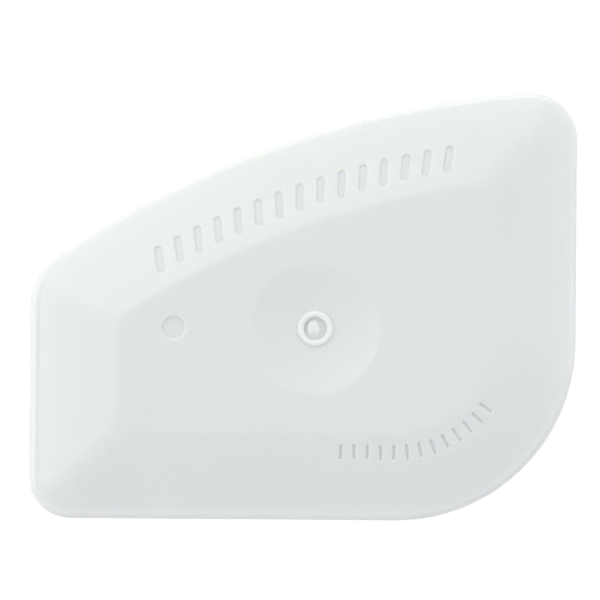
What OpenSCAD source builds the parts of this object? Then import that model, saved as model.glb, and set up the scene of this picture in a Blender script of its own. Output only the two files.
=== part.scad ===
// Hand-held pan scraper, moulded in one piece from a stiff milky plastic.
// A flat plateau stands in the middle, and bevels slope down from it to a thin
// rounded edge on every side. The four corners have four different curves, so
// that one of them fits the inside of most pans and dishes.
// Millimetres. The origin is in the middle of the flat back, X runs along the
// width, Y from the bottom edge to the top edge, and Z out of the worked face.

/* [Outline] */
// Overall width, from the left edge to the right edge
body_w = 82.5; // [76:0.5:96]
// Overall height, from the bottom edge to the top of the top right corner
body_h = 64.8; // [62:0.2:72]
// Height at which the left edge ends and the top left corner begins
left_edge_h = 31.9; // [26:0.1:34]
// Radius of the top right corner
corner_tr_r = 7.2; // [4:0.1:10]
// Radius of the large curve at the bottom right
corner_br_r = 27.2; // [18:0.2:34]
// Radius of the bottom left corner
corner_bl_r = 6.3; // [3:0.1:12]
// Radius of the top left corner
corner_tl_r = 9.4; // [6:0.1:12]
// Radius of the long curve along the top edge
top_curve_r = 149; // [120:1:220]

/* [Thickness and bevels] */
// Thickness at the plateau
body_t = 4.8; // [4.2:0.1:7]
// Thickness of the thin scraping edge
edge_t = 1.6; // [1.5:0.05:2.2]
// Radius that rounds the front of the edge
edge_round_r = 1.35; // [0.8:0.05:1.4]
// Radius that rounds the back of the edge
back_round_r = 0.2; // [0.1:0.05:0.4]
// Width of the flat land between the rounded edge and the foot of the bevel
land_w = 0.35; // [0.2:0.05:0.8]
// Width of the hollow blend at the foot of the bevel
foot_blend_w = 0.3; // [0.1:0.05:0.6]
// Distance from the outline to the border of the plateau
bevel_w = 13.3; // [11:0.1:15]
// Width of the soft border between a bevel and the plateau
plateau_blend_w = 1.3; // [0.6:0.1:2.4]
// Smallest corner radius of the bevels, which softens the ridges where they meet
ridge_r = 1.6; // [1:0.1:2.6]

/* [Thumb dish] */
// Diameter of the dish
dish_d = 19.6; // [16:0.2:22]
// Depth of the dish
dish_depth = 0.95; // [0.8:0.05:1.3]
// Place of the dish's centre, to the right of the origin
dish_x = 1.9; // [0:0.1:4]
// Place of the dish's centre, up from the origin; the pin mark is level with it
dish_y = -3.5; // [-5:0.1:-2]

/* [Moulding marks] */
// Outer diameter of the raised gate ring in the dish
gate_ring_d = 5.2; // [4.4:0.1:6.4]
// Width of the gate ring's rounded wall
gate_ring_w = 0.85; // [0.6:0.05:1]
// Height of the gate ring above the bottom of the dish
gate_ring_h = 0.45; // [0.4:0.05:0.7]
// Depth of the well inside the gate ring, below the bottom of the dish
gate_well_depth = 0.15; // [0.15:0.05:0.6]
// Width of the stub left where the gate was torn off
gate_stub_w = 1.7; // [1.2:0.1:1.8]
// Length of the stub, with its round ends
gate_stub_len = 2.6; // [2:0.1:2.7]
// Height of the stub above the floor of the well
gate_stub_h = 0.5; // [0.35:0.05:0.55]
// Place of the stub's middle to the left of the gate ring's centre, and below it
gate_stub_shift = 0.25; // [0:0.05:0.3]
// Diameter of the mark left by the ejector pin
pin_mark_d = 3.4; // [2.4:0.1:4.4]
// Depth of the ejector pin's mark
pin_mark_depth = 0.3; // [0.15:0.05:0.5]
// Distance from the dish's centre to the ejector pin's mark
pin_mark_gap = 21.3; // [18:0.1:22]

/* [Grip marks] */
// Number of sunk bars along the top bevel
grip_count = 15; // [9:1:18]
// Spacing of the bars along their row
grip_pitch = 3.3; // [2.4:0.1:3.4]
// Length of a bar
grip_len = 4.3; // [3:0.1:5]
// Width of a bar
grip_w = 1.3; // [0.8:0.05:1.8]
// Distance from the top edge to the middle of the row
grip_inset = 8.6; // [7.5:0.1:9]
// Place of the row's middle along the top edge, to the right of the origin
grip_x = -0.6; // [-4:0.2:4]
// Slant of the bars
grip_slant = 18; // [0:1:30]
// Number of small sunk ticks along the bottom right bevel
tick_count = 13; // [7:1:13]
// Spacing of the ticks along their row
tick_pitch = 2.0; // [1.4:0.1:2.1]
// Length of a tick
tick_len = 2.5; // [1.6:0.1:3]
// Width of a tick
tick_w = 0.6; // [0.4:0.05:0.9]
// Distance from the outline to the middle of the row of ticks
tick_inset = 10.3; // [9.6:0.1:10.4]
// Length of the row's straight start, before it turns with the large curve
tick_lead = 8.2; // [4:0.2:10]
// Depth of the bars and ticks
mark_depth = 0.3; // [0.2:0.05:0.5]

/* [Hidden] */

// Number of straight steps in each curve of the outline
STEPS_TR = 12;
STEPS_TOP = 18;
STEPS_TL = 10;
STEPS_BL = 12;
STEPS_BR = 24;
// Number of straight steps in the curves of the edge's section
STEPS_BACK = 3;
STEPS_ROUND = 7;
STEPS_BLEND = 4;
// How far a cutting tool stands clear of the surface that it cuts
CLEAR = 1;
// How far a raised shape is rooted in the solid below it
ROOT = 0.3;
$fn = 96;

// The back's rounding leaves a little of the wall that is below the front's
back_r = min(back_round_r, 0.8 * (edge_t - edge_round_r));

// Where the bevel starts and how steep it is
bevel_foot = edge_round_r + land_w;
bevel_slope = (body_t - edge_t) / (bevel_w - bevel_foot);
bevel_angle = atan(bevel_slope);

// Centres of the two corners that the top curve joins
corner_tr = [body_w / 2 - corner_tr_r, body_h / 2 - corner_tr_r];
corner_tl = [-body_w / 2 + corner_tl_r, -body_h / 2 + left_edge_h];
// Centre of the top curve, which is tangent to both of those corners
top_c = meeting_point(corner_tr, top_curve_r - corner_tr_r, corner_tl, top_curve_r - corner_tl_r);

// Sphere that sinks the dish
dish_ball_r = (pow(dish_d / 2, 2) + pow(dish_depth, 2)) / (2 * dish_depth);
dish_floor = body_t - dish_depth;
gate_mid_r = (gate_ring_d - gate_ring_w) / 2;
gate_well_r = gate_ring_d / 2 - gate_ring_w;
gate_well_floor = dish_floor - gate_well_depth;

// Point below a and b, at distance ra from a and rb from b
function meeting_point(a, ra, b, rb) =
    let (
        gap = norm(b - a),
        along = (ra * ra - rb * rb + gap * gap) / (2 * gap),
        aside = sqrt(ra * ra - along * along),
        dir = (b - a) / gap
    )
    a + along * dir + aside * [-dir.y, dir.x];

// Centre of a corner of radius r that touches an upright edge at x and, from
// inside, the top curve drawn in by inset; side is 1 at the right, -1 at the left
function top_corner(side, inset, r) =
    let (
        x = side * (body_w / 2 - inset - r),
        reach = top_curve_r - inset - r
    )
    [x, top_c.y + sqrt(reach * reach - pow(x - top_c.x, 2))];

function bearing(from, to) = atan2(to.y - from.y, to.x - from.x);

function arc(centre, r, a0, a1, steps, first = 0, last = 0) =
    [for (i = [first : steps - last]) let (a = a0 + (a1 - a0) * i / steps) centre + r * [cos(a), sin(a)]];

// The outline drawn in by inset, with no corner sharper than ridge_r
function outline(inset) =
    let (
        r_tr = max(corner_tr_r - inset, ridge_r),
        r_tl = max(corner_tl_r - inset, ridge_r),
        r_bl = max(corner_bl_r - inset, ridge_r),
        r_br = max(corner_br_r - inset, ridge_r),
        c_tr = top_corner(1, inset, r_tr),
        c_tl = top_corner(-1, inset, r_tl),
        c_bl = [-body_w / 2 + inset + r_bl, -body_h / 2 + inset + r_bl],
        c_br = [body_w / 2 - inset - r_br, -body_h / 2 + inset + r_br],
        a_tr = bearing(top_c, c_tr),
        a_tl = bearing(top_c, c_tl)
    )
    concat(
        arc(c_tr, r_tr, 0, a_tr, STEPS_TR),
        arc(top_c, top_curve_r - inset, a_tr, a_tl, STEPS_TOP, first = 1, last = 1),
        arc(c_tl, r_tl, a_tl, 180, STEPS_TL),
        arc(c_bl, r_bl, 180, 270, STEPS_BL),
        arc(c_br, r_br, 270, 360, STEPS_BR)
    );

// The section of the edge, from the back to the plateau, as [inset, height]
section = concat(
    [for (i = [0 : STEPS_BACK]) let (a = 90 * i / STEPS_BACK)
        back_r * [1 - sin(a), 1 - cos(a)]],
    [for (i = [0 : STEPS_ROUND]) let (a = 90 * i / STEPS_ROUND)
        [edge_round_r * (1 - cos(a)), edge_t - edge_round_r * (1 - sin(a))]],
    [for (i = [0 : STEPS_BLEND]) let (u = i / STEPS_BLEND)
        [bevel_foot + foot_blend_w * (u - 0.5), edge_t + bevel_slope * foot_blend_w * u * u / 2]],
    [for (i = [0 : STEPS_BLEND]) let (u = i / STEPS_BLEND)
        [bevel_w + plateau_blend_w * (u - 0.5), body_t - bevel_slope * plateau_blend_w * pow(1 - u, 2) / 2]]
);

// A closed solid through one outline for each point of the section
module bevelled_plate() {
    rings = [for (p = section) [for (q = outline(p[0])) [q.x, q.y, p[1]]]];
    n = len(rings[0]);
    top = len(rings) - 1;
    polyhedron(
        points = [for (ring = rings) each ring],
        faces = concat(
            [[for (i = [0 : n - 1]) i]],
            [for (k = [0 : top - 1], i = [0 : n - 1]) let (j = (i + 1) % n) [k * n + i, (k + 1) * n + i, (k + 1) * n + j]],
            [for (k = [0 : top - 1], i = [0 : n - 1]) let (j = (i + 1) % n) [k * n + i, (k + 1) * n + j, k * n + j]],
            [[for (i = [n - 1 : -1 : 0]) top * n + i]]
        ),
        convexity = 4
    );
}

module dish_cutter() {
    translate([dish_x, dish_y, dish_floor + dish_ball_r])
        sphere(r = dish_ball_r, $fn = 240);
}

// A low ring with a full round top, which frames the place of the gate
module gate_ring() {
    bead_r = gate_ring_w / 2;
    translate([dish_x, dish_y, gate_well_floor])
        rotate_extrude()
            translate([gate_mid_r, 0]) {
                bead_h = gate_ring_h + gate_well_depth - bead_r;
                translate([-bead_r, 0]) square([gate_ring_w, bead_h]);
                translate([0, bead_h]) circle(r = bead_r, $fn = 32);
            }
}

module gate_well_cutter() {
    translate([dish_x, dish_y, gate_well_floor])
        cylinder(r = gate_well_r, h = gate_well_depth + dish_depth + CLEAR);
}

// What is left of the gate: a low stub, level along its upper half and torn off
// at a slant along its lower half
module gate_stub() {
    run = gate_stub_len - gate_stub_w;
    slant = 26;
    translate([dish_x - gate_stub_shift, dish_y - gate_stub_shift, gate_well_floor - ROOT])
        difference() {
            linear_extrude(gate_stub_h + ROOT) {
                translate([0, run / 2]) circle(d = gate_stub_w, $fn = 48);
                translate([0, -run / 2]) circle(d = gate_stub_w, $fn = 48);
                translate([-gate_stub_w / 2, -run / 2]) square([gate_stub_w, run]);
            }
            translate([0, -run / 2, gate_stub_h + ROOT])
                rotate([slant, 0, 0])
                    translate([-gate_stub_len, -2 * gate_stub_len, 0])
                        cube([2 * gate_stub_len, 2 * gate_stub_len, gate_stub_len]);
        }
}

module pin_mark_cutter() {
    translate([dish_x - pin_mark_gap, dish_y, body_t - pin_mark_depth])
        cylinder(d = pin_mark_d, h = pin_mark_depth + CLEAR);
}

// A bar with round ends that is sunk squarely into a bevel, at a distance of
// inset from the outline. The bevel falls away in the direction of fall.
module sunk_bar(place, inset, fall, length, width, slant) {
    height = edge_t + bevel_slope * (inset - bevel_foot);
    run = (length - width) / 2;
    translate([place.x, place.y, height])
        rotate([0, 0, fall - 90])
            rotate([-bevel_angle, 0, 0])
                rotate([0, 0, -slant])
                    translate([0, 0, -mark_depth])
                        linear_extrude(mark_depth + CLEAR) {
                            translate([-width / 2, -run]) square([width, 2 * run]);
                            translate([0, run]) circle(d = width, $fn = 32);
                            translate([0, -run]) circle(d = width, $fn = 32);
                        }
}

module grip_cutters() {
    row_r = top_curve_r - grip_inset;
    middle = acos((grip_x - top_c.x) / row_r);
    for (i = [0 : grip_count - 1]) {
        a = middle + (i - (grip_count - 1) / 2) * grip_pitch / row_r * 180 / PI;
        sunk_bar(top_c + row_r * [cos(a), sin(a)], grip_inset, a, grip_len, grip_w, grip_slant);
    }
}

// The ticks run straight along the bottom bevel, then turn with the large curve
module tick_cutters() {
    centre = [body_w / 2 - corner_br_r, -body_h / 2 + corner_br_r];
    row_r = corner_br_r - tick_inset;
    for (i = [0 : tick_count - 1]) {
        run = i * tick_pitch - tick_lead;
        a = -90 + max(run, 0) / row_r * 180 / PI;
        place = centre + row_r * [cos(a), sin(a)] + [min(run, 0), 0];
        sunk_bar(place, tick_inset, a, tick_len, tick_w, 0);
    }
}

module scraper() {
    color("#dfe3e2") {
        difference() {
            bevelled_plate();
            dish_cutter();
            gate_well_cutter();
            pin_mark_cutter();
            grip_cutters();
            tick_cutters();
        }
        gate_ring();
        gate_stub();
    }
}

scraper();
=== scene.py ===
"""A hand-held pan scraper, moulded in one piece from a milky plastic, on a white table.

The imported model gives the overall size. The plate is built again here as one fine mesh: its
outline is drawn in by loops, its bevels are lofted through them, and the thumb dish, the moulding
marks and the sunk grip marks are let into the faces that carry them. Sizes are in millimetres.
"""

import logging
import math
from collections.abc import Callable, Collection
from dataclasses import dataclass, field
from enum import Enum

import bpy
import numpy as np
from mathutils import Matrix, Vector
from mathutils.geometry import delaunay_2d_cdt


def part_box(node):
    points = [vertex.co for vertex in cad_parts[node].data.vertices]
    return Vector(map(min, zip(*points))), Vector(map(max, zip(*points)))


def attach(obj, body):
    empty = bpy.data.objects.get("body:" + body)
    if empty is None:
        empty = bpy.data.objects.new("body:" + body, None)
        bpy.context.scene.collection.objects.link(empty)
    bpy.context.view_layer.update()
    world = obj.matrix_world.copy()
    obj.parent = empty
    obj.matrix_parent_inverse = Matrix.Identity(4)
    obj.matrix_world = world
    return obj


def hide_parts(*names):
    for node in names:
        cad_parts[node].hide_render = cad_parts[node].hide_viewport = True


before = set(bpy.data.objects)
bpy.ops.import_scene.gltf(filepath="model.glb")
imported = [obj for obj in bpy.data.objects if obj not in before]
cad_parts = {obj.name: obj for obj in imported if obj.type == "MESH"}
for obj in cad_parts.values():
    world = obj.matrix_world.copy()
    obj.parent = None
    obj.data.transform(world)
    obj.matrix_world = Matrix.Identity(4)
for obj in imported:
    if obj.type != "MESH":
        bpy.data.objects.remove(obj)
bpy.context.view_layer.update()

MM = 0.001
# Thickness that the plastic's material reads: a painted glow makes thin places paler, standing in for
# light shining through them, and thin edges wear duller
GLOW_AND_WEAR_THICKNESS = "glow_and_wear_thickness"
WHITE = (1.0, 1.0, 1.0)
WARM = (1.0, 0.995, 0.96)
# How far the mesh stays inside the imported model's outline
HAIR = 0.01
# Twice the area below which a triangle is dropped
SLIVER = 1e-6
# Distance at which the triangulation takes two points for one
MERGE = 1e-7
# Least gap between a level face's inner points and its loops, as a share of their step
LEAST_GAP = 0.45

log = logging.getLogger("pan_scraper")

Colour = tuple[float, float, float]
# Points with their tangents, normals or outward ways, one row each
Stretch = tuple[np.ndarray, np.ndarray]
# Insets of places on a bevel with the ways out to its edge, one row each
Bearing = tuple[np.ndarray, np.ndarray]
Socket = bpy.types.NodeSocket
# What a node's input can be given
Value = Socket | tuple[float, ...] | float


class Face(Enum):
    """Which way a filled face looks."""

    FRONT = 1
    BACK = -1


def unit(angle: np.ndarray | float) -> np.ndarray:
    """Unit vectors at these angles, which are in radians."""
    return np.stack([np.cos(angle), np.sin(angle)], axis=-1)


def circle_turns(count: int) -> np.ndarray:
    """Evenly spaced angles round a circle, in radians."""
    return np.arange(count) / count * 2 * math.pi


def raised(plan: np.ndarray, height: np.ndarray | float) -> np.ndarray:
    """Points over these places, with one height for each or one for all."""
    return np.column_stack([plan, np.broadcast_to(height, len(plan))])


def ease(u: float) -> float:
    """A soft step, which goes from 0 to 1 as u does."""
    return u * u * (3 - 2 * u)


def ease_slope(u: float) -> float:
    """How steeply the soft step rises."""
    return 6 * u * (1 - u)


def inside(points: np.ndarray, polygon: np.ndarray) -> np.ndarray:
    """Tells which points lie inside a closed polygon.

    Args:
        points: One row per point.
        polygon: One row per corner.

    Returns:
        One truth value per point.
    """
    x, y = points[:, 0:1], points[:, 1:2]
    x0, y0 = polygon[:, 0], polygon[:, 1]
    x1, y1 = np.roll(x0, -1), np.roll(y0, -1)
    spans = (y0 > y) != (y1 > y)
    rise = np.where(y1 == y0, 1.0, y1 - y0)
    crossing = x0 + (y - y0) * (x1 - x0) / rise
    return (spans & (x < crossing)).sum(axis=1) % 2 == 1


def gap_to_loops(points: np.ndarray, loops: list[np.ndarray]) -> np.ndarray:
    """Distance from each point to the nearest point of any of the loops, in the same plane."""
    others = np.vstack(loops)
    return np.array([np.hypot(*(others - p).T).min() for p in points])


class SurfaceMesh:
    """A mesh that is put together from closed loops, with the true normal at every point."""

    def __init__(self) -> None:
        """Starts with no points and no faces."""
        self.points: list[np.ndarray] = []
        self.normals: list[np.ndarray] = []
        self.thicknesses: list[np.ndarray] = []
        self.faces: list[tuple[int, ...]] = []
        self.count = 0

    def add(self, points: np.ndarray, normals: np.ndarray, thickness: float = math.nan) -> np.ndarray:
        """Adds points.

        Args:
            points: One row per point, in millimetres.
            normals: One row per point, of any length.
            thickness: The thickness that the material reads at the points, where it isn't the plate's
                own; a small one gives them a painted glow.

        Returns:
            The indices of the new points.
        """
        self.points.append(points)
        self.normals.append(normals / np.linalg.norm(normals, axis=1, keepdims=True))
        self.thicknesses.append(np.full(len(points), thickness))
        first = self.count
        self.count += len(points)
        return np.arange(first, self.count)

    def place_of(self, indices: np.ndarray) -> np.ndarray:
        """Where the points with these indices are, in millimetres."""
        return np.vstack(self.points)[indices]

    def plan_of(self, indices: np.ndarray) -> np.ndarray:
        """Where the points with these indices are, seen from the front."""
        return self.place_of(indices)[:, :2]

    def loft(self, outer: np.ndarray, inner: np.ndarray, open_at: Collection[int] = ()) -> None:
        """Joins two closed loops of the same count with quads.

        Args:
            outer: The lower or outer loop, anticlockwise seen from the front.
            inner: The upper or inner loop.
            open_at: Positions along the loop that stay open.
        """
        n = len(outer)
        for i in range(n):
            if i not in open_at:
                j = (i + 1) % n
                self.faces.append((outer[i], outer[j], inner[j], inner[i]))

    def skin(self, loops: list[np.ndarray], capped: bool = False) -> None:
        """Joins each loop to the next one.

        Args:
            loops: The loops, from the outside in.
            capped: Whether one face closes the last loop, which is small and convex.
        """
        for outer, inner in zip(loops, loops[1:]):
            self.loft(outer, inner)
        if capped:
            self.faces.append(tuple(loops[-1]))

    def fill(self, border: np.ndarray, holes: list[np.ndarray], inner: np.ndarray, face: Face) -> None:
        """Fills the area inside a border, around the holes, with triangles.

        Args:
            border: The loop round the area.
            holes: Loops that stay open.
            inner: Single points inside the area that the triangles use.
            face: Which way the triangles look.
        """
        loops = [border, *holes]
        used = np.concatenate([*loops, inner]).astype(int)
        edges = []
        start = 0
        for loop in loops:
            n = len(loop)
            edges += [(start + i, start + (i + 1) % n) for i in range(n)]
            start += n
        made = delaunay_2d_cdt([Vector(p) for p in self.plan_of(used)], edges, [], 0, MERGE)
        flat = np.array([tuple(v) for v in made[0]])
        source = [ids[0] if ids else None for ids in made[3]]
        triangles = np.array([t for t in made[2] if len(t) == 3])
        middle = flat[triangles].mean(axis=1)
        keep = inside(middle, self.plan_of(border))
        for hole in holes:
            keep &= ~inside(middle, self.plan_of(hole))
        for triangle in triangles[keep]:
            corners = [int(used[source[c]]) for c in triangle]
            a, b, c = flat[triangle]
            turn = (b[0] - a[0]) * (c[1] - a[1]) - (b[1] - a[1]) * (c[0] - a[0])
            if turn * face.value < 0:
                corners.reverse()
            if abs(turn) > SLIVER:
                self.faces.append(tuple(corners))

    def fill_flat(self, border: np.ndarray, holes: list[np.ndarray], step: float, face: Face) -> None:
        """Fills a level face with even triangles.

        Args:
            border: The loop round the face.
            holes: Loops that stay open.
            step: Rough size of a triangle.
            face: Which way the face looks.
        """
        edge = self.plan_of(border)
        low, high = edge.min(axis=0), edge.max(axis=0)
        rows = []
        for i, y in enumerate(np.arange(low[1], high[1], step * math.sqrt(3) / 2)):
            xs = np.arange(low[0] + (i % 2) * step / 2, high[0], step)
            rows.append(raised(xs, y))
        plan = np.vstack(rows)
        keep = inside(plan, edge)
        hole_plans = [self.plan_of(hole) for hole in holes]
        for hole in hole_plans:
            keep &= ~inside(plan, hole)
        plan = plan[keep]
        plan = plan[gap_to_loops(plan, [edge, *hole_plans]) > step * LEAST_GAP]
        normals = np.tile([0.0, 0.0, float(face.value)], (len(plan), 1))
        level = self.place_of(border)[0, 2]
        self.fill(border, holes, self.add(raised(plan, level), normals), face)

    def build(self, name: str, thickness_of: Callable[[np.ndarray], np.ndarray]) -> bpy.types.Object:
        """Makes the Blender object, in metres.

        Args:
            name: The object's name.
            thickness_of: Gives the plate's thickness at each point, for the material.

        Returns:
            The new object, linked to the scene.
        """
        used = np.unique(np.concatenate([np.array(f) for f in self.faces]))
        renumber = np.full(self.count, -1)
        renumber[used] = np.arange(len(used))
        faces = [[int(renumber[c]) for c in f] for f in self.faces]
        points = self.place_of(used)
        mesh = bpy.data.meshes.new(name)
        mesh.from_pydata((points * MM).tolist(), [], faces)
        mesh.validate()
        mesh.shade_smooth()
        mesh.normals_split_custom_set_from_vertices(np.vstack(self.normals)[used].tolist())
        own = np.concatenate(self.thicknesses)[used]
        values = np.where(np.isnan(own), thickness_of(points), own)
        thickness = mesh.attributes.new(GLOW_AND_WEAR_THICKNESS, "FLOAT", "POINT")
        thickness.data.foreach_set("value", values.astype(np.float32))
        obj = bpy.data.objects.new(name, mesh)
        bpy.context.scene.collection.objects.link(obj)
        return obj


def bend(centre: np.ndarray, radius: float, start: float, end: float, steps: int) -> Stretch:
    """Points and unit tangents along an arc between two angles, which are in radians."""
    out = unit(np.linspace(start, end, steps + 1))
    return centre + radius * out, np.stack([-out[:, 1], out[:, 0]], axis=1)


def straight(start: np.ndarray, end: np.ndarray, steps: int) -> Stretch:
    """Points and unit tangents along a straight line.

    Args:
        start: The first point.
        end: The last point.
        steps: Number of steps between them.

    Returns:
        The points and the tangents, one row each.
    """
    along = np.linspace(0, 1, steps + 1)[:, None]
    way = (end - start) / np.hypot(*(end - start))
    return start + along * (end - start), np.tile(way, (steps + 1, 1))


def between(stretch: Stretch) -> Stretch:
    """A stretch without its two end points, which its neighbours already hold."""
    points, tangents = stretch
    return points[1:-1], tangents[1:-1]


@dataclass(frozen=True)
class PlateOutline:
    """The plate's outline, seen from the front, and every outline drawn in from it."""

    width: float
    height: float
    left_edge_h: float = 31.9
    corner_tr_r: float = 7.2
    corner_br_r: float = 27.2
    corner_bl_r: float = 6.3
    corner_tl_r: float = 9.4
    top_curve_r: float = 149.0
    top_pace: float = 0.966
    ridge_r: float = 2.3
    land_bearing: float = -76.0
    land_ends: float = 0.6
    land_least: float = 0.3
    steps_tr: int = 32
    steps_top: int = 96
    steps_tl: int = 22
    steps_left: int = 26
    steps_bl: int = 30
    steps_bottom: int = 50
    steps_br: int = 64
    steps_right: int = 32

    @property
    def top_centre(self) -> np.ndarray:
        """Centre of the long top curve, which is tangent to the corners at both of its ends.

        Returns:
            The centre, seen from the front.
        """
        right = np.array([self.width / 2 - self.corner_tr_r, self.height / 2 - self.corner_tr_r])
        left = np.array([-self.width / 2 + self.corner_tl_r, -self.height / 2 + self.left_edge_h])
        reach_r = self.top_curve_r - self.corner_tr_r
        reach_l = self.top_curve_r - self.corner_tl_r
        gap = np.hypot(*(left - right))
        along = (reach_r**2 - reach_l**2 + gap**2) / (2 * gap)
        aside = math.sqrt(reach_r**2 - along**2)
        way = (left - right) / gap
        return right + along * way + aside * np.array([-way[1], way[0]])

    @property
    def large_centre(self) -> np.ndarray:
        """Centre of the large curve at the bottom right."""
        return np.array([self.width / 2 - self.corner_br_r, -self.height / 2 + self.corner_br_r])

    def top_r(self, inset: float) -> float:
        """Radius of the top curve at an inset, which it takes a little more slowly than the rest."""
        return self.top_curve_r - self.top_pace * inset

    def corner_r(self, radius: float, inset: float) -> float:
        """A corner's radius at an inset, which never falls below the ridge's own."""
        return max(radius - inset, self.ridge_r)

    def top_corner(self, side: int, inset: float, radius: float) -> np.ndarray:
        """Centre of a corner between an upright edge and the top curve.

        Args:
            side: 1 at the right, -1 at the left.
            inset: How far the outline is drawn in.
            radius: The corner's radius.

        Returns:
            The corner's centre.
        """
        centre = self.top_centre
        x = side * (self.width / 2 - inset - radius)
        reach = self.top_r(inset) - radius
        return np.array([x, centre[1] + math.sqrt(reach**2 - (x - centre[0]) ** 2)])

    def loop(self, inset: float) -> Stretch:
        """The outline drawn in by a distance, anticlockwise from the right edge's upper end.

        Args:
            inset: How far the outline is drawn in.

        Returns:
            The points and the unit tangents, one row each.
        """
        radii = (self.corner_tr_r, self.corner_tl_r, self.corner_bl_r, self.corner_br_r)
        r_tr, r_tl, r_bl, r_br = (self.corner_r(radius, inset) for radius in radii)
        side_x, base_y = self.width / 2 - inset, -self.height / 2 + inset
        c_tr = self.top_corner(1, inset, r_tr)
        c_tl = self.top_corner(-1, inset, r_tl)
        c_bl = np.array([-side_x + r_bl, base_y + r_bl])
        c_br = np.array([side_x - r_br, base_y + r_br])
        a_tr = math.atan2(*(c_tr - self.top_centre)[::-1])
        a_tl = math.atan2(*(c_tl - self.top_centre)[::-1])
        left, down, right = math.pi, 3 * math.pi / 2, 2 * math.pi
        pieces = [
            bend(c_tr, r_tr, 0, a_tr, self.steps_tr),
            between(bend(self.top_centre, self.top_r(inset), a_tr, a_tl, self.steps_top)),
            bend(c_tl, r_tl, a_tl, left, self.steps_tl),
            between(straight(c_tl + [-r_tl, 0], c_bl + [-r_bl, 0], self.steps_left)),
            bend(c_bl, r_bl, left, down, self.steps_bl),
            between(straight(c_bl + [0, -r_bl], c_br + [0, -r_br], self.steps_bottom)),
            bend(c_br, r_br, down, right, self.steps_br),
            between(straight(c_br + [r_br, 0], c_tr + [r_tr, 0], self.steps_right)),
        ]
        return np.vstack([p for p, _ in pieces]), np.vstack([t for _, t in pieces])

    def land_share(self) -> np.ndarray:
        """How much of the rim's land each point of the loop has.

        Returns:
            One share per point: all of it along the left edge, and the least away from there.
        """
        _, tangents = self.loop(0.0)
        facing = tangents @ unit(math.radians(self.land_bearing))
        rise = np.clip((facing - self.land_ends) / (1 - self.land_ends), 0, 1)
        return self.land_least + (1 - self.land_least) * rise

    def drift(self, inset: float, step: float = 0.01) -> np.ndarray:
        """How each point of the loop moves as the inset grows by one millimetre.

        Args:
            inset: How far the outline is drawn in.
            step: How far to look to each side of it.

        Returns:
            One row per point.
        """
        ahead, _ = self.loop(inset + step)
        behind, _ = self.loop(inset - step)
        return (ahead - behind) / (2 * step)


@dataclass(frozen=True)
class SectionPoint:
    """A point of a section, and the way that the section runs there.

    Its place is an inset from the outline or, in a round shape, a distance from the middle.
    """

    place: float
    height: float
    way_in: float
    way_up: float
    thickness: float = math.nan


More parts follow.
